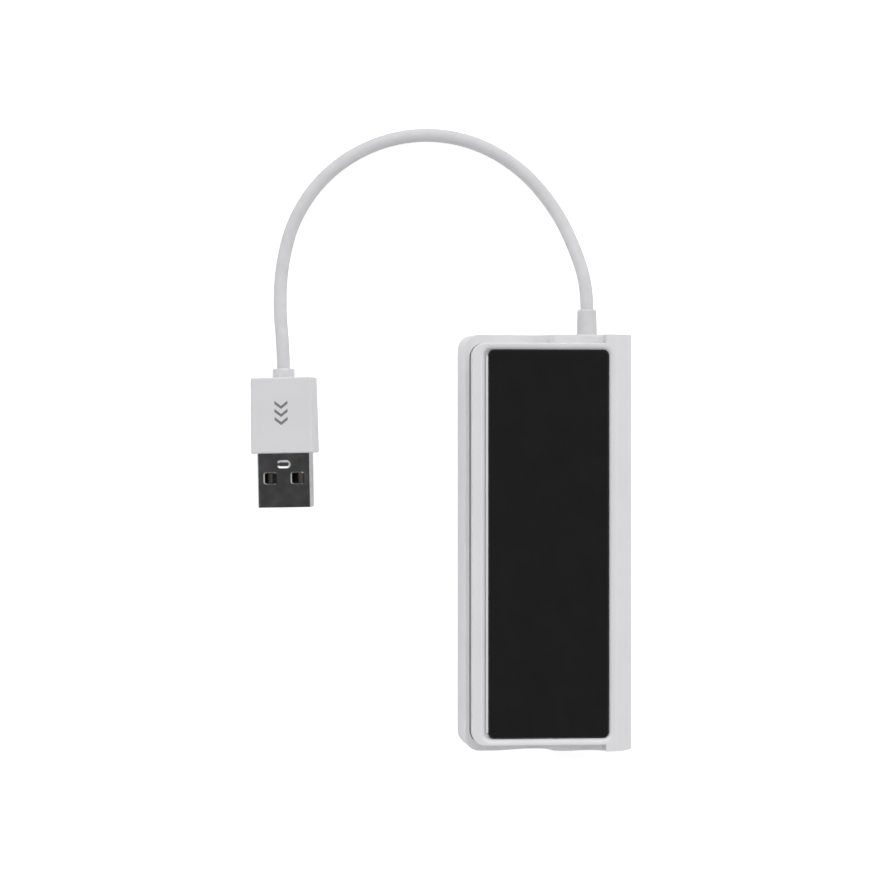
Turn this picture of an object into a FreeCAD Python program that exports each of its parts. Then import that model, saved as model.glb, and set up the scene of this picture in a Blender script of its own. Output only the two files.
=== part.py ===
import FreeCAD, Part
import math
import os

V = FreeCAD.Vector
Y_AXIS = V(0, 1, 0)
Z_AXIS = V(0, 0, 1)

# USB network adapter with a built-in hub and a short captive cord. All sizes are in millimetres.
# The origin is on the surface that the case stands on, under the middle of the case.
# +X is the long side with the three sockets, +Y is the end that the cord leaves, +Z is up.

# ---- case, outside ----
case_length = 93.3
case_width = 38.0
case_height = 20.0
foot_proud = 0.8            # the feet lift the case this far off the surface
corner_radius = 3.2         # plan corners of the closed long side; the socket side has sharp ones
end_draft = 0.45            # lean of the ends over the whole height
side_draft = 0.75           # lean of the closed side
bottom_round = 1.2
half_length = case_length / 2
half_width = case_width / 2

# ---- lower shell ----
floor_thickness = 1.6
floor_top = foot_proud + floor_thickness
cavity_left = -17.39
cavity_half_length = 44.57
cover_centre_y = -0.24      # the cover, its panel and the cavity sit this much towards the jack
cavity_start, cavity_stop = cover_centre_y - cavity_half_length, cover_centre_y + cavity_half_length
cavity_corner = 3.2
fascia_thickness = 0.7
fascia_round = 0.2
fascia_top_edge = 15.1      # the shoulder carries on down to here on the outside of the fascia
fascia_rib_places = [-27.0, -6.5, 12.5, 31.5]
fascia_rib_width = 1.2
fascia_plane = half_width - fascia_thickness
shell_rim = 16.0            # height of the rim along the closed side
valley_start_x = -13.0      # from here the rim of the end walls dips and rises to the crest
valley_x, valley_z = -2.4, 12.6
crest_x, crest_z = 3.6, 18.2
rim_round = 0.25
scoop_x, scoop_width, scoop_depth = 8.6, 6.7, 1.3
cheek_x = 12.7              # from here on the cover reaches over the shell's end walls
cheek_seat = 15.9

# ---- top cover ----
cover_left = -17.16
cover_half_length = 44.51
cover_corner = 3.0
cover_edge_round = 0.25
cover_wall = 1.2
skirt_bottom = 9.8
roof_underside = 16.8
ridge_x = 14.75             # the top is flat up to here, then the shoulder falls to the sockets
shoulder_foot_z = 16.2
shoulder_bulge = V(16.88, 0, 18.5)

# ---- black inlay panel and the recess that it sits in ----
panel_width = 26.8
panel_length = 85.96
panel_centre = V(-0.07, cover_centre_y, 0)
panel_corner = 1.3
panel_bevel = 0.2
panel_top = 19.45
panel_bottom = 18.2
adhesive_thickness = 0.15
recess_round = 1.15         # the frame rolls over into the recess with this radius
shelf_z = 18.8
shelf_gap_left = 0.77       # room beside the panel for a thin rib, with a groove outside it
rib_width, rib_top = 0.47, 19.2
shelf_gap = 0.06

# ---- circuit board ----
board_bottom = 3.0
board_thickness = 1.0
board_top = board_bottom + board_thickness
board_left, board_right = -16.4, 17.0
board_half_length = 43.3

# ---- case screws, from below into bosses of the cover ----
screw_places = [(-13.4, -39.4), (-13.4, 39.4), (14.4, 40.0), (12.0, -25.9)]
boss_radius = 2.2
screw_shaft_radius = 1.0
screw_head_radius = 1.8
screw_head_bottom, screw_head_top = 1.1, 2.2
screw_end = 11.0

# ---- rubber feet ----
foot_radius = 3.5
foot_spread_x, foot_spread_y = 13.2, 33.0    # from the middle of the case to a foot
foot_recess = 0.5

# ---- USB-A sockets, along the +X side ----
socket_places = [-16.0, 3.0, 22.0]
socket_width, socket_height, socket_depth = 13.2, 5.8, 14.0
socket_sheet = 0.3
socket_lip = 0.6
socket_mouth = fascia_plane - 0.05
socket_bottom = board_top + 0.2
socket_window_width, socket_window_height = 12.9, 5.5
tongue_width, tongue_thickness, tongue_front = 11.1, 1.9, 17.3
tongue_root = 8.7
contact_offsets = [-3.5, -1.0, 1.0, 3.5]
contact_width = 1.0
contact_thickness = 0.25

# ---- RJ45 jack, in the -Y end ----
jack_x = 9.3
jack_width, jack_height, jack_depth = 15.6, 11.8, 17.3
jack_bottom = 2.6
jack_face = -half_length + 0.3
jack_entry_floor = 3.5
jack_entry_width, jack_entry_height, jack_entry_depth = 11.7, 6.8, 12.5
jack_step_width, jack_step_height = 6.4, 1.9
jack_latch_width, jack_latch_height = 3.4, 1.2
jack_shield_sheet = 0.25
jack_contact_pitch = 1.02
jack_contact_width = 0.45
led_width, led_height, led_depth = 2.2, 1.6, 3.0

# ---- cord, with the boot on the case ----
cord_diameter = 3.0
boot_x, boot_z = 9.8, 9.0
boot_end = 52.3
boot_radius = 2.3
boot_tip_radius = 2.15
boot_tip_round = 0.5
boot_flange_radius = 3.2
boot_flange_thickness = 1.5
wire_radius = 0.45
wire_pitch = 1.15
wire_end_y = 38.0

# ---- USB-A plug on the far end of the cord ----
plug_x, plug_start_y = -58.6, 38.9      # where the cord enters the plug's sleeve
plug_roll = 11.0            # degrees: the plug lies tipped on one edge of its grip
plug_yaw = 1.1
sleeve_radius = 2.5
sleeve_length = 2.05
grip_length = 17.0
grip_width_at_cord, grip_width_at_shell = 14.0, 14.3
grip_thickness_at_cord, grip_thickness = 7.7, 8.3
grip_round = 0.8
plug_shell_width, plug_shell_height = 12.0, 4.5
plug_shell_exposed = 12.2
plug_shell_buried = 3.0
plug_sheet = 0.3
window_offset, window_from_tip = 3.1, 6.6
window_width, window_length = 2.6, 2.3
window_bevel = 0.24
dimple_from_tip, dimple_width, dimple_length = 9.7, 3.2, 1.8
dimple_depth = 0.2

roll = math.radians(plug_roll)
plug_axis_z = ((grip_width_at_shell / 2 - grip_round) * math.sin(roll)
               + (grip_thickness / 2 - grip_round) * math.cos(roll) + grip_round)

# ---- route of the cord's centre line, from the boot to the plug ----
cord_floor = cord_diameter / 2
cord_route = [
    V(boot_x, boot_end, boot_z),
    V(boot_x, 57.0, boot_z),
    V(8.1, 64.5, 6.6),
    V(4.0, 75.0, 2.4),
    V(-3.8, 84.6, cord_floor),
    V(-14.4, 90.9, cord_floor),
    V(-26.4, 92.9, cord_floor),
    V(-38.4, 90.4, cord_floor),
    V(-48.9, 83.7, cord_floor),
    V(-56.0, 73.9, cord_floor),
    V(-59.0, 63.1, cord_floor),
    V(-59.5, 52.6, 3.0),
    V(plug_x - 0.09, 43.6, plug_axis_z),
    V(plug_x, plug_start_y, plug_axis_z),
]


# ---- helpers ----

def box(x0, x1, y0, y1, z0, z1):
    return Part.makeBox(x1 - x0, y1 - y0, z1 - z0, V(x0, y0, z0))


def rod(radius, start, end):
    return Part.makeCylinder(radius, (end - start).Length, start, end - start)


def outline(x0, x1, half_y, z, left_radius, right_radius=0.0, middle_y=0.0):
    """A closed outline in plan whose two left and two right corners have their own radius."""
    y0, y1 = middle_y - half_y, middle_y + half_y
    diagonal = 1 - math.sqrt(0.5)
    corners = [(x0, y0, 1, 1, left_radius), (x1, y0, -1, 1, right_radius),
               (x1, y1, -1, -1, right_radius), (x0, y1, 1, -1, left_radius)]
    edges = []
    joints = []
    for number, (x, y, inward_x, inward_y, radius) in enumerate(corners):
        along_y = V(x, y + inward_y * radius, z)
        along_x = V(x + inward_x * radius, y, z)
        enters, leaves = (along_y, along_x) if number % 2 == 0 else (along_x, along_y)
        middle = V(x + inward_x * radius * diagonal, y + inward_y * radius * diagonal, z)
        joints.append((enters, middle, leaves, radius))
    for number, (enters, middle, leaves, radius) in enumerate(joints):
        if radius > 0:
            edges.append(Part.Arc(enters, middle, leaves).toShape())
        edges.append(Part.LineSegment(leaves, joints[(number + 1) % 4][0]).toShape())
    return Part.Wire(edges)


def plate(x0, x1, half_y, z0, z1, left_radius, right_radius=0.0, middle_y=0.0):
    face = Part.Face(outline(x0, x1, half_y, z0, left_radius, right_radius, middle_y))
    return face.extrude(V(0, 0, z1 - z0))


def side_profile(points_and_edges, y0, y1):
    """A closed outline in the XZ plane, given as edges, pulled out from y0 to y1."""
    face = Part.Face(Part.Wire(points_and_edges))
    face.translate(V(0, y0, 0))
    return face.extrude(V(0, y1 - y0, 0))


def line(start, end):
    return Part.LineSegment(start, end).toShape()


def polyline(points):
    return [line(start, end) for start, end in zip(points, points[1:])]


def ease(x0, z0, x1, z1):
    """Two equal arcs that lead level from one height to another."""
    rise = z1 - z0
    radius = ((x1 - x0) ** 2 + rise ** 2) / (4 * abs(rise))
    quarter = math.atan2(abs(rise), x1 - x0)
    side = radius * math.sin(quarter)
    drop = math.copysign(radius * (1 - math.cos(quarter)), rise)
    middle = V((x0 + x1) / 2, 0, (z0 + z1) / 2)
    first = Part.Arc(V(x0, 0, z0), V(x0 + side, 0, z0 + drop), middle)
    second = Part.Arc(middle, V(x1 - side, 0, z1 - drop), V(x1, 0, z1))
    return [first.toShape(), second.toShape()]


def edges_where(shape, test):
    return [edge for edge in shape.Edges if test(edge.BoundBox)]


def tube(route, radius):
    """Straight runs joined by tangent arcs, each as large as its two runs allow."""
    edges = []
    radii = []
    start = route[0]
    for before, corner, after in zip(route, route[1:], route[2:]):
        arriving = (corner - before).normalize()
        leaving = (after - corner).normalize()
        turn = arriving.getAngle(leaving)
        shorter = min((corner - before).Length, (after - corner).Length)
        setback = 0.45 * shorter
        bend = setback / math.tan(turn / 2)
        enters = corner - arriving * setback
        leaves = corner + leaving * setback
        inward = (leaving - arriving).normalize()
        middle = corner + inward * (bend / math.cos(turn / 2) - bend)
        edges.append(line(start, enters))
        edges.append(Part.Arc(enters, middle, leaves).toShape())
        radii.append(bend)
        start = leaves
    edges.append(line(start, route[-1]))
    path = Part.Wire(edges)
    section = Part.Wire(Part.makeCircle(radius, route[0], route[1] - route[0]))
    solid = Part.Wire(path).makePipeShell([section], True, True)
    return solid, path.Length, radii


# ---- case ----

def case_block():
    """The outer form that the shell, the cover's cheek and the fascia are all cut from."""
    low = outline(-half_width, half_width, half_length, foot_proud, corner_radius)
    high = outline(-half_width + side_draft, half_width, half_length - end_draft,
                   case_height, corner_radius)
    block = Part.makeLoft([low, high], True, True)
    bottom_edges = edges_where(block, lambda b: b.ZMax < foot_proud + 0.01
                               and b.XMin < half_width - 0.01)
    return block.makeFillet(bottom_round, bottom_edges)


def above_rim():
    """Everything above the wavy rim of the shell's end walls."""
    beyond, over = 40.0, 40.0
    scoop_start = scoop_x - scoop_width / 2
    scoop_stop = scoop_x + scoop_width / 2
    scoop = Part.Arc(V(scoop_start, 0, crest_z), V(scoop_x, 0, crest_z - scoop_depth),
                     V(scoop_stop, 0, crest_z)).toShape()
    edges = [line(V(-beyond, 0, shell_rim), V(valley_start_x, 0, shell_rim))]
    edges += ease(valley_start_x, shell_rim, valley_x, valley_z)
    edges += ease(valley_x, valley_z, crest_x, crest_z)
    edges += [line(V(crest_x, 0, crest_z), V(scoop_start, 0, crest_z)), scoop]
    edges += polyline([V(scoop_stop, 0, crest_z), V(cheek_x, 0, crest_z), V(cheek_x, 0, cheek_seat),
                       V(beyond, 0, cheek_seat), V(beyond, 0, over), V(-beyond, 0, over),
                       V(-beyond, 0, shell_rim)])
    return side_profile(edges, -beyond * 2, beyond * 2)


def foot_places():
    return [(x, y) for x in (-foot_spread_x, foot_spread_x) for y in (-foot_spread_y, foot_spread_y)]


def bottom_case(block):
    shell = block.common(box(-half_width, fascia_plane, -half_length, half_length, 0, case_height))
    shell = shell.cut(plate(cavity_left, case_width, cavity_half_length, floor_top, case_height,
                            cavity_corner, middle_y=cover_centre_y))
    shell = shell.cut(above_rim())
    outer_rim = edges_where(shell, lambda b: b.ZMin > valley_z - 0.1 and b.XMax < fascia_plane - 0.5
                            and (b.XMin < cavity_left - 0.5
                                 or max(abs(b.YMin), abs(b.YMax)) > cavity_half_length + 0.5)
                            and not (b.XLength < 0.05 and 0.5 < b.YLength < 2.0))
    shell = shell.makeFillet(rim_round, outer_rim)
    for x, y in screw_places:
        shell = shell.fuse(rod(boss_radius + 0.4, V(x, y, foot_proud + 0.4), V(x, y, board_bottom)))
    for y in (-20.0, 0.0, 20.0):
        shell = shell.fuse(box(-16.0, -12.0, y - 0.6, y + 0.6, foot_proud + 0.4, board_bottom))
        shell = shell.fuse(box(13.0, 16.5, y - 0.6, y + 0.6, foot_proud + 0.4, board_bottom))
    for x, y in screw_places:
        shell = shell.cut(rod(screw_head_radius, V(x, y, 0), V(x, y, screw_head_top)))
        shell = shell.cut(rod(screw_shaft_radius, V(x, y, 0), V(x, y, board_bottom + 0.1)))
    for x, y in foot_places():
        shell = shell.cut(rod(foot_radius, V(x, y, 0), V(x, y, foot_proud + foot_recess)))
    shell = shell.cut(rod(boot_radius, V(boot_x, 40, boot_z), V(boot_x, half_length + 1, boot_z)))
    half_jack = jack_width / 2
    shell = shell.cut(box(jack_x - half_jack, jack_x + half_jack, -half_length - 1,
                          cavity_start + 1, jack_bottom, jack_bottom + jack_height))
    return shell.removeSplitter()


def recess_layer(gap_left, z0, z1):
    """One level of the recess: the panel's outline with a gap round it, wider on the left."""
    left, right = panel_centre.x - panel_width / 2, panel_centre.x + panel_width / 2
    return plate(left - gap_left, right + shelf_gap, panel_length / 2 + shelf_gap, z0, z1,
                 panel_corner, panel_corner, panel_centre.y)


def cover_cheek(block):
    """The cover's socket-side edge, which runs the whole length and ends flush with the walls."""
    shoulder = Part.Arc(V(fascia_plane, 0, shoulder_foot_z), shoulder_bulge,
                        V(ridge_x, 0, case_height)).toShape()
    edges = polyline([V(ridge_x, 0, case_height), V(cheek_x, 0, case_height),
                      V(cheek_x, 0, cheek_seat), V(fascia_plane, 0, cheek_seat),
                      V(fascia_plane, 0, shoulder_foot_z)]) + [shoulder]
    return side_profile(edges, -case_length, case_length).common(block)


def top_cover(block):
    cover = plate(cover_left, ridge_x - 0.5, cover_half_length, skirt_bottom, case_height,
                  cover_corner, middle_y=cover_centre_y)
    rounded = edges_where(cover, lambda b: b.ZMin > case_height - 0.01
                          and b.XMin < ridge_x - 1)
    cover = cover.makeFillet(cover_edge_round, rounded)
    cover = cover.fuse(cover_cheek(block)).removeSplitter()
    cover = cover.cut(recess_layer(shelf_gap_left, shelf_z, case_height + 1))
    brim = edges_where(cover, lambda b: b.ZMin > case_height - 0.01
                       and b.XMin > panel_centre.x - panel_width / 2 - 1
                       and b.XMax < panel_centre.x + panel_width / 2 + 1
                       and max(abs(b.YMin), abs(b.YMax)) < cover_half_length - 1)
    cover = cover.makeFillet(recess_round, brim)
    cover = cover.cut(recess_layer(shelf_gap, panel_bottom - adhesive_thickness, shelf_z + 0.1))
    inside_right = fascia_plane - 1.9
    cover = cover.cut(plate(cover_left + cover_wall, inside_right, cover_half_length - cover_wall,
                            0, roof_underside, cover_corner - cover_wall,
                            middle_y=cover_centre_y))
    rib_stop = panel_centre.x - panel_width / 2 - shelf_gap
    half_rib = panel_length / 2 - panel_corner
    cover = cover.fuse(box(rib_stop - rib_width, rib_stop, cover_centre_y - half_rib,
                           cover_centre_y + half_rib, shelf_z - 0.1, rib_top))
    tongue_stop = cover_half_length - cover_wall + cover_centre_y
    cover = cover.fuse(box(fascia_plane - 1.2, fascia_plane - 0.1, fascia_rib_places[0], tongue_stop,
                           cheek_seat - 1.2, cheek_seat + 0.2))
    half_jack = jack_width / 2 + jack_shield_sheet + 0.15
    cover = cover.cut(box(jack_x - half_jack, case_width, -case_length, cavity_start + 3,
                          0, jack_bottom + jack_height + jack_shield_sheet + 0.15))
    half_flange = boot_flange_radius + 0.2
    cover = cover.cut(box(boot_x - half_flange, case_width, cavity_stop - 3, case_length,
                          0, boot_z + half_flange))
    for x, y in screw_places:
        cover = cover.fuse(rod(boss_radius, V(x, y, board_bottom), V(x, y, roof_underside + 0.2)))
        cover = cover.cut(rod(screw_shaft_radius, V(x, y, 0), V(x, y, screw_end)))
    return cover.removeSplitter()


def port_fascia(block):
    fascia = block.common(box(fascia_plane, half_width, -half_length, half_length, 0,
                              shoulder_foot_z))
    shoulder_end = polyline([V(fascia_plane, 0, shoulder_foot_z), V(half_width, 0, fascia_top_edge),
                             V(half_width + 1, 0, fascia_top_edge),
                             V(half_width + 1, 0, shoulder_foot_z + 1),
                             V(fascia_plane, 0, shoulder_foot_z + 1),
                             V(fascia_plane, 0, shoulder_foot_z)])
    fascia = fascia.cut(side_profile(shoulder_end, -case_length, case_length))
    face_edges = edges_where(fascia, lambda b: b.XMin > half_width - 0.01)
    fascia = fascia.makeFillet(fascia_round, face_edges)
    middle = socket_bottom + socket_height / 2
    for y in socket_places:
        window = box(fascia_plane - 1, half_width + 1,
                     y - socket_window_width / 2, y + socket_window_width / 2,
                     middle - socket_window_height / 2, middle + socket_window_height / 2)
        corners = edges_where(window, lambda b: b.XLength > 1)
        fascia = fascia.cut(window.makeFillet(0.5, corners))
    half_rib = fascia_rib_width / 2
    for y in fascia_rib_places:
        fascia = fascia.fuse(box(board_right + 0.1, fascia_plane + 0.2, y - half_rib, y + half_rib,
                                 floor_top, cheek_seat - 2.0))
    return fascia.removeSplitter()


def black_panel():
    left = panel_centre.x - panel_width / 2
    panel = plate(left, left + panel_width, panel_length / 2, panel_bottom, panel_top,
                  panel_corner, panel_corner, panel_centre.y)
    return panel.makeChamfer(panel_bevel, edges_where(panel, lambda b: b.ZMin > panel_top - 0.01))


def panel_adhesive():
    margin = 1.5
    left = panel_centre.x - panel_width / 2 + margin
    return plate(left, left + panel_width - 2 * margin, panel_length / 2 - margin,
                 panel_bottom - adhesive_thickness, panel_bottom, panel_corner, panel_corner,
                 panel_centre.y)


def rubber_foot(x, y):
    foot = rod(foot_radius, V(x, y, 0), V(x, y, foot_proud + foot_recess))
    return foot.makeFillet(0.3, edges_where(foot, lambda b: b.ZMax < 0.01))


def case_screws():
    screws = []
    for x, y in screw_places:
        head = rod(screw_head_radius - 0.1, V(x, y, screw_head_bottom), V(x, y, screw_head_top))
        head = head.makeFillet(0.3, edges_where(head, lambda b: b.ZMax < screw_head_bottom + 0.01))
        screw = head.fuse(rod(screw_shaft_radius, V(x, y, screw_head_bottom + 0.4),
                              V(x, y, screw_end - 1)))
        for length, width in ((2.0, 0.5), (0.5, 2.0)):
            screw = screw.cut(box(x - length / 2, x + length / 2, y - width / 2, y + width / 2,
                                  screw_head_bottom, screw_head_bottom + 0.6))
        screws.append(screw.removeSplitter())
    return Part.makeCompound(screws)


# ---- circuit board and what is soldered to it ----

def socket_legs(y):
    """Four legs of a socket's shell, which stand in slots of the board."""
    side = socket_width / 2
    legs = []
    for x in (7.5, 14.0):
        for sign in (-1, 1):
            near, far = sorted((y + sign * side, y + sign * (side - socket_sheet)))
            legs.append(box(x - 1.1, x + 1.1, near, far, board_bottom - 0.3, socket_bottom + 0.5))
    return legs


def main_board():
    board = box(board_left, board_right, -board_half_length, board_half_length,
                board_bottom, board_top)
    half_jack = jack_width / 2 + jack_shield_sheet + 0.1
    board = board.cut(box(jack_x - half_jack, board_right + 1, -case_length,
                          jack_face + jack_depth + jack_shield_sheet + 0.1, 0, case_height))
    for x, y in screw_places:
        board = board.cut(rod(boss_radius + 0.1, V(x, y, 0), V(x, y, case_height)))
    for y in socket_places:
        for leg in socket_legs(y):
            board = board.cut(leg)
    half_slot = fascia_rib_width / 2 + 0.2
    for y in fascia_rib_places:
        board = board.cut(box(board_right - 0.2, case_width, y - half_slot, y + half_slot,
                              0, case_height))
    return board.removeSplitter()


def socket_shell(y):
    back = socket_mouth - socket_depth
    half = socket_width / 2
    top = socket_bottom + socket_height
    shell = box(back, socket_mouth, y - half, y + half, socket_bottom, top)
    lip = box(socket_mouth - socket_sheet, socket_mouth, y - half - socket_lip,
              y + half + socket_lip, socket_bottom, top + socket_lip)
    sheet = socket_sheet
    for sign in (-1, 1):
        near, far = sorted((y + sign * (half + socket_lip), y + sign * half))
        for low, high in ((socket_bottom, socket_bottom + 1.0), (top - 0.4, top + socket_lip)):
            lip = lip.cut(box(socket_mouth - 1, socket_mouth + 1, near, far, low, high))
    shell = shell.fuse(lip)
    shell = shell.cut(box(back + sheet, socket_mouth + 1, y - half + sheet, y + half - sheet,
                          socket_bottom + sheet, top - sheet))
    for leg in socket_legs(y):
        shell = shell.fuse(leg)
    return shell.removeSplitter()


def socket_tongue(y):
    back = socket_mouth - socket_depth + socket_sheet
    half = socket_width / 2 - socket_sheet
    low = socket_bottom + socket_sheet
    high = socket_bottom + socket_height - socket_sheet
    base = box(back, tongue_root, y - half, y + half, low, high)
    tongue = box(tongue_root - 0.5, tongue_front, y - tongue_width / 2, y + tongue_width / 2,
                 high - 0.5 - tongue_thickness, high - 0.5)
    nose = edges_where(tongue, lambda b: b.XMin > tongue_front - 0.01 and b.YLength > 1)
    return base.fuse(tongue.makeChamfer(0.4, nose)).removeSplitter()


def socket_contacts(y):
    underside = socket_bottom + socket_height - socket_sheet - 0.5 - tongue_thickness
    strips = [box(tongue_root, tongue_front - 0.6, y + offset - contact_width / 2,
                  y + offset + contact_width / 2, underside - contact_thickness, underside)
              for offset in contact_offsets]
    return Part.makeCompound(strips)


def jack_led_block(side):
    """A light in one of the jack face's upper corners: side is -1 or 1."""
    x = jack_x + side * (jack_width / 2 - 0.9 - led_width / 2)
    top = jack_bottom + jack_height - 0.9
    return box(x - led_width / 2, x + led_width / 2, jack_face, jack_face + led_depth,
               top - led_height, top)


def jack_housing():
    half = jack_width / 2
    housing = box(jack_x - half, jack_x + half, jack_face, jack_face + jack_depth,
                  jack_bottom, jack_bottom + jack_height)
    floor = jack_entry_floor
    inner = jack_face + jack_entry_depth
    openings = [(jack_entry_width, floor, floor + jack_entry_height, inner),
                (jack_step_width, floor, floor + jack_entry_height + jack_step_height, inner),
                (jack_latch_width, floor, floor + jack_entry_height + jack_step_height
                 + jack_latch_height, jack_face + 8.0)]
    for width, low, high, back in openings:
        housing = housing.cut(box(jack_x - width / 2, jack_x + width / 2, jack_face - 1, back,
                                  low, high))
    for side in (-1, 1):
        housing = housing.cut(jack_led_block(side))
    return housing.removeSplitter()


def jack_shield():
    """Folded sheet round the jack's sides, back and top, open below and at the face."""
    sheet = jack_shield_sheet
    half = jack_width / 2
    front = cavity_start + 0.1
    back = jack_face + jack_depth
    top = jack_bottom + jack_height
    shield = box(jack_x - half - sheet, jack_x + half + sheet, front, back + sheet,
                 board_top, top + sheet)
    return shield.cut(box(jack_x - half, jack_x + half, front - 1, back, 0, top))


def jack_contacts():
    wires = []
    floor = jack_entry_floor
    front = jack_face + 2.4
    for number in range(8):
        x = jack_x + (number - 3.5) * jack_contact_pitch - jack_contact_width / 2
        points = [V(x, front, floor), V(x, front + 0.7, floor), V(x, front + 7.2, floor + 1.85),
                  V(x, front + 7.1, floor + 2.15), V(x, front, floor)]
        wires.append(Part.Face(Part.Wire(polyline(points))).extrude(V(jack_contact_width, 0, 0)))
    return Part.makeCompound(wires)


def chip(x, y, length_x, length_y, height, edge=0.15):
    body = box(x - length_x / 2, x + length_x / 2, y - length_y / 2, y + length_y / 2,
               board_top, board_top + height)
    return body.makeChamfer(edge, edges_where(body, lambda b: b.ZMin > board_top + height - 0.01))


def crystal_can(x, y):
    can = plate(x - 5.6, x + 5.6, 2.3, board_top, board_top + 3.4, 2.2, 2.2, y)
    return can.makeFillet(0.4, edges_where(can, lambda b: b.ZMin > board_top + 3.39))


def bulk_capacitor():
    x, y = -11.5, 28.5
    can = rod(2.5, V(x, y, board_top), V(x, y, board_top + 6.5))
    return can.makeFillet(0.4, edges_where(can, lambda b: b.ZMin > board_top + 6.49))


def small_chips(length_x, length_y, height, places):
    return Part.makeCompound([chip(x, y, length_x, length_y, height, 0.08) for x, y in places])


# ---- cord and plug ----

def cord_boot():
    start = cavity_stop - boot_flange_thickness
    flange = rod(boot_flange_radius, V(boot_x, start, boot_z), V(boot_x, cavity_stop, boot_z))
    neck = rod(boot_radius, V(boot_x, start, boot_z), V(boot_x, half_length, boot_z))
    sleeve = Part.makeCone(boot_radius, boot_tip_radius, boot_end - half_length,
                           V(boot_x, half_length, boot_z), Y_AXIS)
    tip = edges_where(sleeve, lambda b: b.YMin > boot_end - 0.01)
    sleeve = sleeve.makeFillet(boot_tip_round, tip)
    return flange.fuse(neck).fuse(sleeve).removeSplitter()


def cord_wire(number):
    """One of the four cores, from the boot's inner face down to its pad on the board."""
    x = boot_x + (number - 1.5) * wire_pitch
    start_y = cavity_stop - boot_flange_thickness
    route = [V(x, start_y, boot_z), V(x, start_y - 2.0, boot_z),
             V(x, wire_end_y, boot_z - 1.8), V(x, wire_end_y, board_top)]
    solid, length, radii = tube(route, wire_radius)
    return solid


def place_plug(shape):
    """Plug pieces are drawn lying flat along -Y from the origin, then tipped and set down."""
    shape.rotate(V(0, 0, 0), Y_AXIS, -plug_roll)
    shape.rotate(V(0, 0, 0), Z_AXIS, plug_yaw)
    shape.translate(V(plug_x, plug_start_y, plug_axis_z))
    return shape


grip_start = -sleeve_length
grip_stop = grip_start - grip_length
plug_tip = grip_stop - plug_shell_exposed


def plug_strain_relief():
    sleeve = rod(sleeve_radius, V(0, 0, 0), V(0, grip_start, 0))
    sleeve = sleeve.makeFillet(0.35, edges_where(sleeve, lambda b: b.YMin > -0.01))
    neck = rod(sleeve_radius - 0.3, V(0, grip_start, 0), V(0, grip_start - 1.5, 0))
    core = box(-4.6, 4.6, grip_start - 9.0, grip_start - 1.4, -2.4, 2.4)
    return sleeve.fuse(neck).fuse(core).removeSplitter()


def end_outline(width, thickness, y):
    half_x, half_z = width / 2, thickness / 2
    corners = [V(-half_x, y, -half_z), V(half_x, y, -half_z), V(half_x, y, half_z),
               V(-half_x, y, half_z), V(-half_x, y, -half_z)]
    return Part.Wire(polyline(corners))


def plug_grip(core):
    grip = Part.makeLoft([end_outline(grip_width_at_cord, grip_thickness_at_cord, grip_start),
                          end_outline(grip_width_at_shell, grip_thickness, grip_stop)], True, True)
    grip = grip.makeFillet(grip_round, edges_where(grip, lambda b: b.YLength > grip_length - 1))
    ends = edges_where(grip, lambda b: b.YLength < 0.5)
    grip = grip.makeFillet(0.35, ends)
    shell_bed = box(-plug_shell_width / 2, plug_shell_width / 2, grip_stop - 1,
                    grip_stop + plug_shell_buried, -plug_shell_height / 2, plug_shell_height / 2)
    return grip.cut(core).cut(shell_bed)


def stadium(x, y, width, length, radius, z):
    """A rounded rectangle in plan, centred on (x, y)."""
    return outline(x - width / 2, x + width / 2, length / 2, z, radius, radius, y)


def window_cutter(x, y):
    """Cuts one latch window through both broad faces, with a bevelled edge on each face."""
    surface = plug_shell_height / 2
    radius = 0.35
    hole = Part.Face(stadium(x, y, window_width, window_length, radius, -surface - 1))
    cutter = hole.extrude(V(0, 0, 2 * surface + 2))
    for sign in (-1, 1):
        wide, long = window_width + 2 * window_bevel, window_length + 2 * window_bevel
        rim = Part.makeLoft([stadium(x, y, wide, long, radius + window_bevel, sign * surface),
                             stadium(x, y, window_width, window_length, radius,
                                     sign * (surface - window_bevel))], True, True)
        cutter = cutter.fuse(rim)
    return cutter


def dimple_cutter(y, sign):
    """A pressed dimple in a broad face, which is narrower at its floor."""
    surface = plug_shell_height / 2
    slope = 0.45
    top = stadium(0, y, dimple_width, dimple_length, dimple_length / 2 - 0.01, sign * surface)
    floor = stadium(0, y, dimple_width - 2 * slope, dimple_length - 2 * slope,
                    dimple_length / 2 - 0.01 - slope, sign * (surface - dimple_depth))
    return Part.makeLoft([top, floor], True, True)


def plug_shell():
    half_x, half_z = plug_shell_width / 2, plug_shell_height / 2
    back = grip_stop + plug_shell_buried
    shell = box(-half_x, half_x, plug_tip, back, -half_z, half_z)
    shell = shell.makeFillet(0.22, edges_where(shell, lambda b: b.YLength > 1))
    hollow = box(-half_x + plug_sheet, half_x - plug_sheet, plug_tip - 1, back + 1,
                 -half_z + plug_sheet, half_z - plug_sheet)
    shell = shell.cut(hollow)
    for sign in (-1, 1):
        shell = shell.cut(window_cutter(sign * window_offset, plug_tip + window_from_tip))
        shell = shell.cut(dimple_cutter(plug_tip + dimple_from_tip, sign))
    return shell


def plug_insert():
    half_x = plug_shell_width / 2 - plug_sheet
    low = -plug_shell_height / 2 + plug_sheet
    high = plug_shell_height / 2 - plug_sheet
    back = grip_stop + plug_shell_buried
    tray = box(-half_x, half_x, plug_tip + 0.4, back, low, low + 1.85)
    block = box(-half_x, half_x, plug_tip + 8.6, back, low, high)
    return tray.fuse(block).removeSplitter()


def plug_contacts():
    surface = -plug_shell_height / 2 + plug_sheet + 1.85
    strips = [box(offset - contact_width / 2, offset + contact_width / 2, plug_tip + 1.2,
                  plug_tip + 8.6, surface, surface + 0.15) for offset in contact_offsets]
    return Part.makeCompound(strips)


# ---- build every node ----

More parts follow.
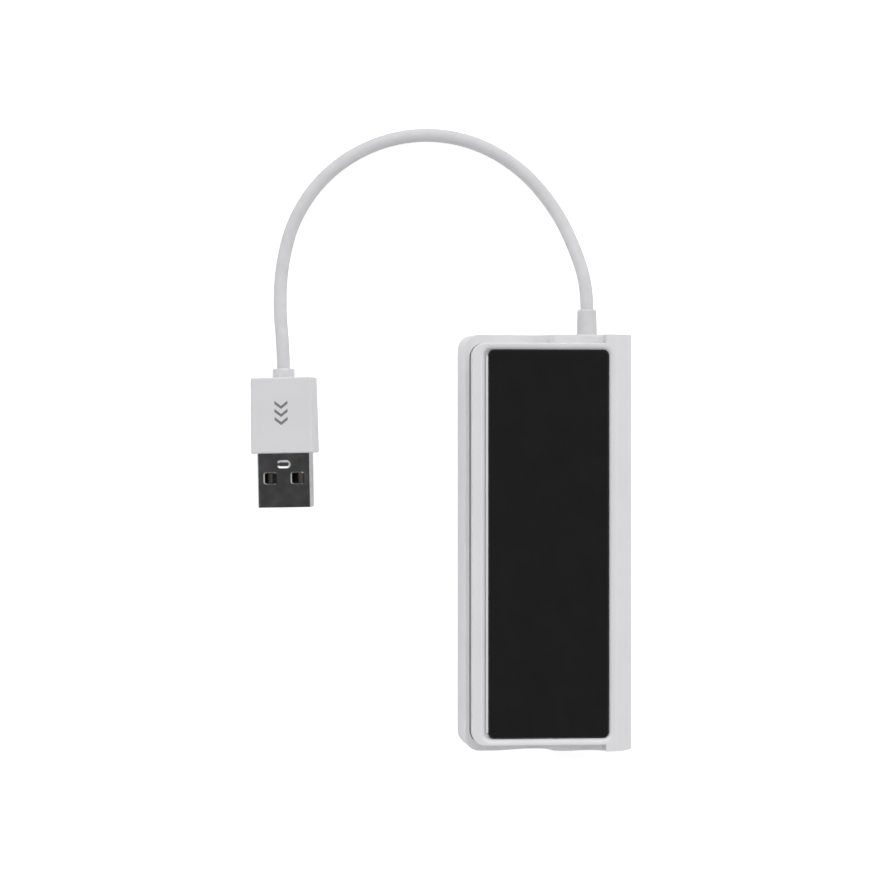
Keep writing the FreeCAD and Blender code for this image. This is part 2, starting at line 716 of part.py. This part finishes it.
def build():
    nodes = {}
    block = case_block()
    nodes["bottom_case"] = bottom_case(block)
    nodes["top_cover"] = top_cover(block)
    nodes["port_fascia"] = port_fascia(block)
    nodes["black_panel"] = black_panel()
    nodes["panel_adhesive"] = panel_adhesive()
    nodes["case_screws"] = case_screws()
    for number, (x, y) in enumerate(foot_places(), 1):
        nodes[f"rubber_foot_{number}"] = rubber_foot(x, y)

    nodes["main_board"] = main_board()
    for number, y in enumerate(socket_places, 1):
        nodes[f"usb_socket_shell_{number}"] = socket_shell(y)
        nodes[f"usb_socket_tongue_{number}"] = socket_tongue(y)
        nodes[f"usb_socket_contacts_{number}"] = socket_contacts(y)
    nodes["network_jack_housing"] = jack_housing()
    nodes["network_jack_shield"] = jack_shield()
    nodes["network_jack_contacts"] = jack_contacts()
    nodes["network_jack_light_left"] = jack_led_block(-1)
    nodes["network_jack_light_right"] = jack_led_block(1)
    nodes["hub_chip"] = chip(-6.0, 6.0, 7.0, 7.0, 1.4)
    nodes["network_chip"] = chip(-7.0, -18.5, 7.0, 7.0, 1.4)
    nodes["network_transformer"] = chip(-5.4, -35.5, 9.4, 12.6, 4.8, 0.3)
    nodes["regulator_chip"] = chip(-2.5, 30.0, 3.5, 6.5, 1.6)
    nodes["hub_crystal"] = crystal_can(-8.0, 16.5)
    nodes["network_crystal"] = crystal_can(-8.0, -9.0)
    nodes["bulk_capacitor"] = bulk_capacitor()
    nodes["chip_capacitors"] = small_chips(1.6, 0.8, 0.8, [
        (x, y) for x in (-14.5, 0.8) for y in (-27.0, -15.0, -3.0, 9.0, 21.0)])
    nodes["chip_resistors"] = small_chips(0.8, 1.6, 0.5, [
        (x, y) for x in (-12.0, -9.0, -6.0, -3.0) for y in (-25.5, 23.0)])

    nodes["cord_boot"] = cord_boot()
    for number, colour in enumerate(("red", "white", "green", "black")):
        nodes[f"cord_wire_{colour}"] = cord_wire(number)
    cord, cord_length, cord_radii = tube(cord_route, cord_diameter / 2)
    nodes["cord"] = cord
    print("cord bend radii:", [round(radius, 1) for radius in cord_radii])
    expected = math.pi * cord_diameter ** 2 / 4 * cord_length
    print(f"cord: length {cord_length:.1f} mm, volume {cord.Volume:.1f} mm3, "
          f"section times length {expected:.1f} mm3")

    core = plug_strain_relief()
    plug = {"plug_strain_relief": core, "plug_grip": plug_grip(core),
            "plug_shell": plug_shell(), "plug_insert": plug_insert(), "plug_contacts": plug_contacts()}
    for name, shape in plug.items():
        nodes[name] = place_plug(shape)
    return nodes


os.makedirs("parts", exist_ok=True)
for name, shape in build().items():
    bounds = shape.BoundBox
    print(f"{name}: {len(shape.Solids)} solids, valid {shape.isValid()}, "
          f"{shape.Volume:.2f} mm3, x {bounds.XMin:.2f}..{bounds.XMax:.2f}, "
          f"y {bounds.YMin:.2f}..{bounds.YMax:.2f}, z {bounds.ZMin:.2f}..{bounds.ZMax:.2f}")
    shape.exportStep(f"parts/{name}.step")
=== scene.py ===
# %% [markdown]
# # A small USB network adapter with a captive cord
# The object is a white desk adapter about as long as a finger. It has a black inset
# panel on top, a network jack in one end, three sockets along one side, and a short cord that
# ends in a plug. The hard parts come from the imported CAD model, so this lesson is about three
# things: a soft cord that lies naturally, honest moulded-plastic and metal finishes, and a
# bright, shadow-soft studio.

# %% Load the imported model
import math

import bmesh
import bpy
from mathutils import Matrix, Vector


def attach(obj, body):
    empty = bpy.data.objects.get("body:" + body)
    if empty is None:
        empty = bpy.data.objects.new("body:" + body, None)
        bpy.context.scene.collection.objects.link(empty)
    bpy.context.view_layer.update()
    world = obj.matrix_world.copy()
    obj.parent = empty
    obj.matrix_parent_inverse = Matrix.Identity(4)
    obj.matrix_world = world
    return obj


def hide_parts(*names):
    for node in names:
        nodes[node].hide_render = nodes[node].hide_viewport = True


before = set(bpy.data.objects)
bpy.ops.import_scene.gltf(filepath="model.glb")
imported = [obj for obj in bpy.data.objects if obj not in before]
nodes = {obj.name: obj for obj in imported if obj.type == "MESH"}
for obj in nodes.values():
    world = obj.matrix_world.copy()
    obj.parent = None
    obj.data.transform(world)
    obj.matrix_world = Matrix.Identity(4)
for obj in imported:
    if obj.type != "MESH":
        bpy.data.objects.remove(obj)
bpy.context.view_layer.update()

scene = bpy.context.scene
mm = 0.001

# %% [markdown]
# ## The camera
# The adapter is seen almost straight from above, with the cord's end of the case towards the
# top of the picture. A camera with a long lens keeps the long edges parallel. It stands a
# little to the left of the vertical, so that a sliver of the case's left wall shows.
# The camera could be aimed with a Track To constraint, but one turn about the Y axis is all that
# it needs, so its angle is simply written down.

# %% Set up the camera
aim_point = Vector((-23.55, 22.8, 10.0)) * mm
camera_distance = 0.52
camera_tilt = math.radians(4.0)

camera_data = bpy.data.cameras.new("camera")
camera_data.lens = 94.7
camera_data.sensor_width = 36.0
camera_data.clip_start = 0.01
camera = bpy.data.objects.new("camera", camera_data)
camera.location = aim_point + camera_distance * Vector(
    (-math.sin(camera_tilt), 0, math.cos(camera_tilt)))
camera.rotation_euler = (0, -camera_tilt, 0)
scene.collection.objects.link(camera)
scene.camera = camera
print("camera at", [round(value, 3) for value in camera.location])

# %% [markdown]
# ## The cord
# The real cord is a soft jacket 3 mm thick over four cores. It leaves the rubber boot level,
# sinks to the table within a few centimetres, runs round in one loose arch and rises again to
# meet the plug, which lies tipped on one edge. A cord like this can be a swept mesh, but a
# NURBS curve of order 3 with a round bevel is better: it has the same few points as
# the CAD route, and it is smooth everywhere, as a bent jacket is. The bevel's depth is one
# metre and each point's own radius scales it down to the jacket's, because the box that
# is measured round a curve grows by the points' radius and not by the bevel.

# %% Lay the cord
cord_diameter = 3.0 * mm
cord_floor = 1.5
plug_x, plug_start_y, plug_axis_z = -58.6, 38.9, 5.3
boot_x, boot_end, boot_z = 9.8, 52.3, 9.0
cord_route = [
    (boot_x, boot_end, boot_z),
    (boot_x, 57.0, boot_z),
    (8.1, 64.5, 6.6),
    (4.0, 75.0, 2.4),
    (-3.8, 84.6, cord_floor),
    (-14.4, 90.9, cord_floor),
    (-26.4, 92.9, cord_floor),
    (-38.4, 90.4, cord_floor),
    (-48.9, 83.7, cord_floor),
    (-56.0, 73.9, cord_floor),
    (-59.0, 63.1, cord_floor),
    (-59.5, 52.6, 3.0),
    (plug_x - 0.09, 43.6, plug_axis_z),
    (plug_x, plug_start_y, plug_axis_z),
]


def lay_cord(name, route, diameter):
    """A round cord along a smooth NURBS line that the route's points steer."""
    data = bpy.data.curves.new(name, "CURVE")
    data.dimensions = "3D"
    data.resolution_u = 16
    data.bevel_depth = 1.0
    data.bevel_resolution = 7
    data.use_fill_caps = True
    spline = data.splines.new("NURBS")
    spline.points.add(len(route) - 1)
    for point, place in zip(spline.points, route):
        point.co = (*(Vector(place) * mm), 1.0)
        point.radius = diameter / 2
    spline.order_u = 3
    spline.use_endpoint_u = True
    return bpy.data.objects.new(name, data)


def line_length(curve_object):
    """Length of a curve's own line, measured on its evaluated points."""
    bare = curve_object.data.copy()
    bare.bevel_depth = 0.0
    holder = bpy.data.objects.new("measure", bare)
    mesh = bpy.data.meshes.new_from_object(holder)
    places = [vertex.co for vertex in mesh.vertices]
    length = sum((b - a).length for a, b in zip(places, places[1:]))
    bpy.data.objects.remove(holder)
    bpy.data.meshes.remove(mesh)
    return length


cord = lay_cord("cord_jacket", cord_route, cord_diameter)
scene.collection.objects.link(cord)
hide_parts("cord")
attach(cord, "root")
print("cord line is", round(line_length(cord) / mm, 1), "mm long")

# %% [markdown]
# ## The mark on the plug
# The top face of a real plug carries a small printed symbol that shows which way up it goes.
# A trade symbol isn't copied here. Three plain chevrons that point at the metal end say the same
# thing. They could be an image texture, but as thin pads of ink with real edges they
# stay sharp however close the camera comes. They are drawn flat in the plug's own space
# and then tipped with it by one matrix.

# %% Print three chevrons on the grip
plug_roll = math.radians(-11.0)
plug_yaw = math.radians(1.1)
plug_space = (Matrix.Translation(Vector((plug_x, plug_start_y, plug_axis_z)) * mm)
              @ Matrix.Rotation(plug_yaw, 4, "Z") @ Matrix.Rotation(plug_roll, 4, "Y"))
grip_start, grip_length = -2.05, 17.0
thin_end, thick_end = 7.7 / 2, 8.3 / 2
ink_thickness, ink_sink = 0.03, 0.1
chevron_tips = (-12.75, -10.95, -9.15)
chevron_half_width = 1.48
chevron_rise = 1.15
chevron_stroke = 0.70


def chevron_outline(tip_y):
    """Corners of one chevron whose tip points along -Y, anticlockwise from above, in mm."""
    wing_y = tip_y + chevron_rise
    return [(0, tip_y), (chevron_half_width, wing_y),
            (chevron_half_width, wing_y + chevron_stroke), (0, tip_y + chevron_stroke),
            (-chevron_half_width, wing_y + chevron_stroke), (-chevron_half_width, wing_y)]


def grip_surface(y):
    """Height of the grip's broad face over the plug's axis: the grip thickens towards the metal."""
    return thin_end + (thick_end - thin_end) * (grip_start - y) / grip_length


def add_slab(mesh, outline, below, above):
    """A slab of ink over an outline on the grip, sunk a little so that no gap can show."""
    bottom = [mesh.verts.new((x, y, grip_surface(y) - below)) for x, y in outline]
    top = [mesh.verts.new((x, y, grip_surface(y) + above)) for x, y in outline]
    mesh.faces.new(top)
    mesh.faces.new(list(reversed(bottom)))
    for i in range(len(outline)):
        j = (i + 1) % len(outline)
        mesh.faces.new((bottom[i], bottom[j], top[j], top[i]))


def finish_mesh(name, mesh, matrix=Matrix.Identity(4)):
    """Turns a bmesh drawn in millimetres into an object of the scene, in metres."""
    bmesh.ops.recalc_face_normals(mesh, faces=mesh.faces)
    data = bpy.data.meshes.new(name)
    mesh.to_mesh(data)
    mesh.free()
    data.transform(matrix @ Matrix.Scale(mm, 4))
    made = bpy.data.objects.new(name, data)
    scene.collection.objects.link(made)
    return made


mark_mesh = bmesh.new()
for tip_y in chevron_tips:
    add_slab(mark_mesh, chevron_outline(tip_y), ink_sink, ink_thickness)
plug_mark = finish_mesh("plug_mark", mark_mesh, plug_space)
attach(plug_mark, "root")
print("plug mark has", len(plug_mark.data.polygons), "faces")

# %% [markdown]
# The plug's pieces are CAD nodes, and the printed mark goes with them.

# %% [markdown]
# ## Finishes: a small kit for building materials
# Every finish below is built from the same few ideas. Noise in object space varies the
# colour a little, noise also varies the gloss, and a finer one makes the surface uneven
# through a bump. Each helper below adds one of these steps, so that a finish reads like a short
# recipe. Numbers that are the same all over a surface stay on the shader's own sockets.

# %% A helper for procedural finishes
def new_finish(name, metallic=0.0, ior=1.5, **fixed):
    """An empty finish: a Principled shader, its output, and object-space coordinates."""
    material = bpy.data.materials.new(name)
    material.use_nodes = True
    tree = material.node_tree
    tree.nodes.clear()
    shader = tree.nodes.new("ShaderNodeBsdfPrincipled")
    output = tree.nodes.new("ShaderNodeOutputMaterial")
    tree.links.new(shader.outputs["BSDF"], output.inputs["Surface"])
    shader.inputs["Metallic"].default_value = metallic
    shader.inputs["IOR"].default_value = ior
    for socket, value in fixed.items():
        shader.inputs[socket].default_value = value
    return material, tree, shader


def object_space(tree, stretch=(1, 1, 1), turn=(0, 0, 0)):
    """Object coordinates, stretched along an axis for grain or brushing."""
    source = tree.nodes.new("ShaderNodeTexCoord")
    mapping = tree.nodes.new("ShaderNodeMapping")
    mapping.inputs["Scale"].default_value = stretch
    mapping.inputs["Rotation"].default_value = turn
    tree.links.new(source.outputs["Object"], mapping.inputs["Vector"])
    return mapping.outputs["Vector"]


def noise(tree, vector, size_mm, detail=3.0, roughness=0.55):
    """Noise whose blobs are about size_mm across."""
    node = tree.nodes.new("ShaderNodeTexNoise")
    node.inputs["Scale"].default_value = 1.0 / (size_mm * mm)
    node.inputs["Detail"].default_value = detail
    node.inputs["Roughness"].default_value = roughness
    tree.links.new(vector, node.inputs["Vector"])
    return node.outputs["Fac"]


def two_tones(tree, factor, low, high, start=0.35, stop=0.65):
    """A colour that goes from low to high as the factor rises."""
    ramp = tree.nodes.new("ShaderNodeValToRGB")
    ramp.color_ramp.elements[0].position = start
    ramp.color_ramp.elements[0].color = (*low, 1)
    ramp.color_ramp.elements[1].position = stop
    ramp.color_ramp.elements[1].color = (*high, 1)
    tree.links.new(factor, ramp.inputs["Fac"])
    return ramp.outputs["Color"]


def between(tree, factor, low, high, start=0.3, stop=0.7):
    """A number that goes from low to high as the factor rises."""
    node = tree.nodes.new("ShaderNodeMapRange")
    node.inputs["From Min"].default_value = start
    node.inputs["From Max"].default_value = stop
    node.inputs["To Min"].default_value = low
    node.inputs["To Max"].default_value = high
    tree.links.new(factor, node.inputs["Value"])
    return node.outputs["Result"]


def bump(tree, height, depth_mm, strength=1.0, below=None):
    """A bump of a real depth, on top of another bump if one is given."""
    node = tree.nodes.new("ShaderNodeBump")
    node.inputs["Strength"].default_value = strength
    node.inputs["Distance"].default_value = depth_mm * mm
    tree.links.new(height, node.inputs["Height"])
    if below is not None:
        tree.links.new(below, node.inputs["Normal"])
    return node.outputs["Normal"]


print("finish helpers ready")

# %% [markdown]
# ## White moulded plastic
# The case and the plug's grip are injection-moulded ABS in a cool white. The mould was polished
# and then lightly blasted, so the surface has a soft sheen and an extremely fine grain.
# Slow changes in tone come from flow in the mould. A flat white would look like
# paper, so noises at 9 mm, 1.4 mm and 0.16 mm carry tone, gloss and grain, and a fourth
# at 4 mm lets the surface swell by a hundredth of a millimetre, as it does over ribs.

# %% Make the white plastics
def moulded_white(name, tone, gloss, grain_mm, grain_depth_mm):
    material, tree, shader = new_finish(name)
    space = object_space(tree)
    darker = tuple(channel * 0.975 for channel in tone)
    flow = noise(tree, space, 9.0, detail=2.0)
    tree.links.new(two_tones(tree, flow, darker, tone), shader.inputs["Base Color"])
    handling = noise(tree, space, 1.4, detail=4.0)
    tree.links.new(between(tree, handling, gloss, gloss + 0.09), shader.inputs["Roughness"])
    flow_bump = bump(tree, noise(tree, space, 4.0, detail=1.0), 0.012)
    grain = noise(tree, space, grain_mm, detail=2.0, roughness=0.6)
    tree.links.new(bump(tree, grain, grain_depth_mm, below=flow_bump), shader.inputs["Normal"])
    return material


case_white = moulded_white("case_white", (0.78, 0.78, 0.79), 0.28, 0.16, 0.0020)
grip_white = moulded_white("grip_white", (0.735, 0.735, 0.745), 0.32, 0.14, 0.0022)
print("white plastics:", case_white.name, grip_white.name)

# %% [markdown]
# ## Black inlay
# The inset panel is a sheet of black acrylic with a satin face. It shows almost no colour of its
# own; what one sees is how evenly it reflects a dark ceiling. Faint cloudy patches in the
# gloss, like the trace of a wiping cloth, and a very shallow unevenness keep it from
# looking like a hole in the picture.

# %% Make the black inlay
def satin_black():
    material, tree, shader = new_finish("panel_black", ior=1.49)
    space = object_space(tree)
    cloud = noise(tree, space, 7.0, detail=5.0)
    tree.links.new(two_tones(tree, cloud, (0.0105, 0.0105, 0.0109), (0.0122, 0.0122, 0.0125)),
                   shader.inputs["Base Color"])
    wiped = noise(tree, object_space(tree, stretch=(1, 0.25, 1), turn=(0, 0, 0.5)), 2.5, detail=6.0)
    tree.links.new(between(tree, wiped, 0.22, 0.27), shader.inputs["Roughness"])
    skin = bump(tree, noise(tree, space, 0.25, detail=2.0), 0.0012)
    tree.links.new(skin, shader.inputs["Normal"])
    return material


panel_black = satin_black()
print("black inlay:", panel_black.name)

# %% [markdown]
# ## Soft white jacket
# The cord and its boot are a soft thermoplastic rubber; the plug's sleeve is moulded in one
# with its grip and shares the grip's plastic. Rubber is duller than the case, so its gloss is
# low and uneven, with a trace of sheen at grazing angles. Drawn streaks along the jacket would
# read as wood grain at this size, and a slow swell of 1.6 mm says softness better.

# %% Make the soft white rubber
def soft_white():
    material, tree, shader = new_finish("cord_white", ior=1.48)
    space = object_space(tree)
    tone = noise(tree, space, 3.0, detail=3.0)
    tree.links.new(two_tones(tree, tone, (0.64, 0.64, 0.65), (0.675, 0.675, 0.685)),
                   shader.inputs["Base Color"])
    tree.links.new(between(tree, noise(tree, space, 0.8), 0.44, 0.56), shader.inputs["Roughness"])
    shader.inputs["Sheen Weight"].default_value = 0.04
    shader.inputs["Sheen Roughness"].default_value = 0.5
    fine = noise(tree, space, 0.11, detail=2.0)
    slow = bump(tree, noise(tree, space, 1.6, detail=1.0), 0.02)
    tree.links.new(bump(tree, fine, 0.003, below=slow), shader.inputs["Normal"])
    return material


cord_white = soft_white()
print("soft jacket:", cord_white.name)

# %% [markdown]
# ## Plated sheet metal
# The plug's shell, the socket shells and the jack's shield are thin steel with bright nickel
# plating. Plating follows the rolling marks of the sheet, so the gloss is streaked along one
# direction, and a plug that has been used carries fine scratches and specks. The streaks
# are noise stretched fifty to one, and the specks are tiny pits at the centres of the cells of
# a Voronoi pattern.

# %% Make the plated metals
def plated(name, tone, gloss, along=(1, 0.02, 1), wear=0.5):
    material, tree, shader = new_finish(name, metallic=1.0)
    space = object_space(tree)
    streaks = noise(tree, object_space(tree, stretch=along), 0.12, detail=4.0)
    patches = noise(tree, space, 2.2, detail=5.0, roughness=0.65)
    darker = tuple(channel * 0.87 for channel in tone)
    tree.links.new(two_tones(tree, patches, darker, tone), shader.inputs["Base Color"])
    mixed = tree.nodes.new("ShaderNodeMath")
    mixed.operation = "MULTIPLY_ADD"
    mixed.inputs[1].default_value = wear
    tree.links.new(streaks, mixed.inputs[0])
    tree.links.new(patches, mixed.inputs[2])
    tree.links.new(between(tree, mixed.outputs["Value"], gloss, gloss + 0.10, 0.5, 1.1),
                   shader.inputs["Roughness"])
    specks = tree.nodes.new("ShaderNodeTexVoronoi")
    specks.inputs["Scale"].default_value = 1.0 / (0.55 * mm)
    tree.links.new(space, specks.inputs["Vector"])
    pits = between(tree, specks.outputs["Distance"], 0.0, 1.0, 0.0, 0.16)
    rolled = bump(tree, streaks, 0.0025, strength=0.6)
    tree.links.new(bump(tree, pits, 0.008, strength=wear, below=rolled), shader.inputs["Normal"])
    return material


plug_nickel = plated("plug_nickel", (0.62, 0.62, 0.63), 0.09)
socket_nickel = plated("socket_nickel", (0.66, 0.65, 0.63), 0.20, wear=0.3)
contact_gold = plated("contact_gold", (0.56, 0.48, 0.36), 0.18, wear=0.3)
screw_steel = plated("screw_steel", (0.55, 0.55, 0.56), 0.24, along=(1, 1, 1), wear=0.6)
can_aluminium = plated("can_aluminium", (0.80, 0.80, 0.81), 0.28, wear=0.3)
print("metals:", plug_nickel.name, socket_nickel.name, contact_gold.name)

# %% [markdown]
# ## The small plastics and rubbers
# The connectors' insulators are glass-filled nylon, the feet are silicone, the wires are PVC and
# the chips are a sandy moulding compound. They differ in tone, gloss and in how coarse
# their grain is, so one function with those numbers makes them all.

# %% Make the small plastics
def grained(name, tone, gloss, grain_mm, depth_mm, spread=0.82, **fixed):
    material, tree, shader = new_finish(name, **fixed)
    space = object_space(tree)
    speckle = noise(tree, space, grain_mm * 4, detail=4.0)
    darker = tuple(channel * spread for channel in tone)
    tree.links.new(two_tones(tree, speckle, darker, tone), shader.inputs["Base Color"])
    tree.links.new(between(tree, speckle, gloss, gloss + 0.12), shader.inputs["Roughness"])
    tree.links.new(bump(tree, noise(tree, space, grain_mm), depth_mm), shader.inputs["Normal"])
    return material


nylon_black = grained("nylon_black", (0.022, 0.022, 0.023), 0.42, 0.10, 0.004)
foot_rubber = grained("foot_rubber", (0.36, 0.36, 0.37), 0.62, 0.18, 0.010)
chip_compound = grained("chip_compound", (0.030, 0.030, 0.032), 0.55, 0.06, 0.004)
ceramic_tan = grained("ceramic_tan", (0.40, 0.26, 0.15), 0.45, 0.08, 0.003)
tape_foam = grained("tape_foam", (0.72, 0.72, 0.69), 0.80, 0.20, 0.020)
ink_grey = grained("ink_grey", (0.22, 0.22, 0.23), 0.50, 0.05, 0.002)
wire_colours = {"red": (0.50, 0.02, 0.02), "white": (0.78, 0.78, 0.78),
                "green": (0.02, 0.28, 0.06), "black": (0.02, 0.02, 0.02)}
wire_finishes = {colour: grained("wire_" + colour, tone, 0.38, 0.12, 0.003, spread=0.9)
                 for colour, tone in wire_colours.items()}
lens_tones = {"green": (0.22, 0.55, 0.20), "amber": (0.80, 0.42, 0.06)}
lens_finishes = {colour: grained("lens_" + colour, tone, 0.12, 0.30, 0.002, spread=0.9,
                                 **{"Transmission Weight": 0.35})
                 for colour, tone in lens_tones.items()}
print("small finishes:", 6 + len(wire_finishes) + len(lens_finishes))

# %% [markdown]
# ## The circuit board
# Green solder mask is a thin, glossy lacquer over copper. Where tracks run under it the green is
# a little lighter and the surface stands a few hundredths of a millimetre higher.
# A Brick texture with very flat bricks gives believable groups of parallel tracks
# without drawing any of them by hand.

# %% Make the board's lacquer
def board_green():
    material, tree, shader = new_finish("board_green", ior=1.55)
    space = object_space(tree)
    tracks = tree.nodes.new("ShaderNodeTexBrick")
    tracks.inputs["Scale"].default_value = 1.0 / (1.0 * mm)
    tracks.inputs["Mortar Size"].default_value = 0.10
    tracks.inputs["Mortar Smooth"].default_value = 0.2
    tracks.inputs["Brick Width"].default_value = 6.0
    tracks.inputs["Row Height"].default_value = 0.55
    tracks.inputs["Color1"].default_value = (0.012, 0.105, 0.040, 1)
    tracks.inputs["Color2"].default_value = (0.016, 0.130, 0.050, 1)
    tracks.inputs["Mortar"].default_value = (0.006, 0.060, 0.022, 1)
    tree.links.new(space, tracks.inputs["Vector"])
    tree.links.new(tracks.outputs["Color"], shader.inputs["Base Color"])
    tree.links.new(between(tree, noise(tree, space, 3.0), 0.18, 0.34), shader.inputs["Roughness"])
    tree.links.new(bump(tree, tracks.outputs["Fac"], -0.03), shader.inputs["Normal"])
    return material


solder_mask = board_green()
print("board:", solder_mask.name)

# %% [markdown]
# ## Hand out the finishes
# A CAD node keeps its mesh; only the material in its slots changes. A table from the start of a
# node's name to its finish keeps this readable, and an assertion makes sure that no
# node is left with the plain material that it came with.

# %% Give every node its finish
finish_of = {
    "bottom_case": case_white, "top_cover": case_white, "port_fascia": case_white,
    "black_panel": panel_black, "panel_adhesive": tape_foam, "case_screws": screw_steel,
    "rubber_foot": foot_rubber, "main_board": solder_mask,
    "usb_socket_shell": socket_nickel, "usb_socket_tongue": nylon_black,
    "usb_socket_contacts": contact_gold, "network_jack_housing": nylon_black,
    "network_jack_shield": socket_nickel, "network_jack_contacts": contact_gold,
    "network_jack_light_left": lens_finishes["green"],
    "network_jack_light_right": lens_finishes["amber"],
    "hub_chip": chip_compound, "network_chip": chip_compound,
    "network_transformer": chip_compound, "regulator_chip": chip_compound,
    "hub_crystal": socket_nickel, "network_crystal": socket_nickel,
    "bulk_capacitor": can_aluminium, "chip_capacitors": ceramic_tan,
    "chip_resistors": chip_compound, "cord_boot": cord_white, "cord": cord_white,
    "plug_strain_relief": grip_white, "plug_grip": grip_white, "plug_shell": plug_nickel,
    "plug_insert": nylon_black, "plug_contacts": contact_gold,
}
finish_of.update({"cord_wire_" + colour: finish for colour, finish in wire_finishes.items()})


def finish_for(node_name):
    matches = [start for start in finish_of if node_name.startswith(start)]
    return finish_of[max(matches, key=len)]


for node_name, node in nodes.items():
    for material_slot in node.material_slots:
        material_slot.material = finish_for(node_name)
    assert node.material_slots, node_name
cord.data.materials.append(cord_white)
plug_mark.data.materials.append(ink_grey)
print("finishes given to", len(nodes), "nodes")

# %% [markdown]
# ## The table and the light
# The adapter lies on a plain white table in a light tent. The tent is brightest about half way
# up and dark straight overhead, where the camera looks in, and that is why the black
# panel and the flat face of the plug look dark while every rounded edge catches light.
# The sky is therefore a gradient by height, and it is also more than twice as strong beyond
# the cord's end as beyond the near one. Three weak soft lamps, beyond the cord's end and to
# either side, give the edges their direction. The lens itself sees a plain white surround
# and a table that glows a little. That glow is for the lens only, because a table that really
# gave off light would wash out the lower walls of the case.

# %% Build the table
table_radius = 4.0
glow_for_lens = 0.55


def white_table():
    material, tree, shader = new_finish("table_white")
    cloud = noise(tree, object_space(tree), 60.0)
    tree.links.new(two_tones(tree, cloud, (0.93, 0.93, 0.93), (0.94, 0.94, 0.94)),
                   shader.inputs["Base Color"])
    shader.inputs["Roughness"].default_value = 0.85
    shader.inputs["Specular IOR Level"].default_value = 0.1
    shader.inputs["Emission Color"].default_value = (1, 1, 1, 1)
    ray = tree.nodes.new("ShaderNodeLightPath")
    glow = between(tree, ray.outputs["Is Camera Ray"], 0.0, glow_for_lens, 0.0, 1.0)
    tree.links.new(glow, shader.inputs["Emission Strength"])
    return material


table_mesh = bmesh.new()
bmesh.ops.create_circle(table_mesh, cap_ends=True, segments=96, radius=table_radius)
table_data = bpy.data.meshes.new("table")
table_mesh.to_mesh(table_data)
table_mesh.free()
table = bpy.data.objects.new("table", table_data)
table.location.z = -0.00002
table.data.materials.append(white_table())
scene.collection.objects.link(table)
print("table of", table_radius, "m radius")

# %% Light the tent
near_strength, cord_end_strength = 0.80, 1.95
sky_by_height = [(0.0, 0.34), (0.35, 0.46), (0.60, 0.97), (0.79, 1.0),
                 (0.84, 0.45), (0.88, 0.06), (1.0, 0.04)]

world = bpy.data.worlds.new("tent")
world.use_nodes = True
scene.world = world
tent = world.node_tree
tent.nodes.clear()
direction = tent.nodes.new("ShaderNodeTexCoord")
split = tent.nodes.new("ShaderNodeSeparateXYZ")
height = tent.nodes.new("ShaderNodeValToRGB")
sky = tent.nodes.new("ShaderNodeBackground")
world_output = tent.nodes.new("ShaderNodeOutputWorld")
tent.links.new(direction.outputs["Generated"], split.inputs["Vector"])
tent.links.new(split.outputs["Z"], height.inputs["Fac"])
tent.links.new(height.outputs["Color"], sky.inputs["Color"])
lengthwise = between(tent, split.outputs["Y"], near_strength, cord_end_strength, -1.0, 1.0)
tent.links.new(lengthwise, sky.inputs["Strength"])

surround = tent.nodes.new("ShaderNodeBackground")
surround.inputs["Color"].default_value = (1, 1, 1, 1)
seen_by = tent.nodes.new("ShaderNodeLightPath")
choose = tent.nodes.new("ShaderNodeMixShader")
tent.links.new(seen_by.outputs["Is Camera Ray"], choose.inputs["Fac"])
tent.links.new(sky.outputs["Background"], choose.inputs[1])
tent.links.new(surround.outputs["Background"], choose.inputs[2])
tent.links.new(choose.outputs["Shader"], world_output.inputs["Surface"])
ramp = height.color_ramp
ramp.elements[0].position = sky_by_height[0][0]
ramp.elements[1].position = sky_by_height[-1][0]
for position, value in sky_by_height[1:-1]:
    ramp.elements.new(position)
for element, (position, value) in zip(ramp.elements, sky_by_height):
    element.color = (value, value, value * 1.01, 1)


lit_place = Vector((-0.02, 0.03, 0.01))


def soft_lamp(name, place, size, watts):
    """A square lamp that faces the middle of the table and isn't mirrored in the metal."""
    data = bpy.data.lights.new(name, "AREA")
    data.shape = "SQUARE"
    data.size = size
    data.energy = watts
    lamp = bpy.data.objects.new(name, data)
    lamp.location = place
    toward = lit_place - lamp.location
    lamp.rotation_euler = toward.to_track_quat("-Z", "Y").to_euler()
    lamp.visible_glossy = False
    scene.collection.objects.link(lamp)
    return lamp


lamps = [
    soft_lamp("lamp_cord_end", (0.25, 0.85, 0.75), 0.6, 2.0),
    soft_lamp("lamp_socket_side", (0.95, 0.10, 0.70), 0.6, 0.25),
    soft_lamp("lamp_closed_side", (-0.90, -0.10, 0.65), 0.7, 0.3),
]
scene.view_settings.view_transform = "Standard"
scene.view_settings.look = "None"
print("lamps:", [lamp.name for lamp in lamps])

# %% Finish
bpy.context.view_layer.update()
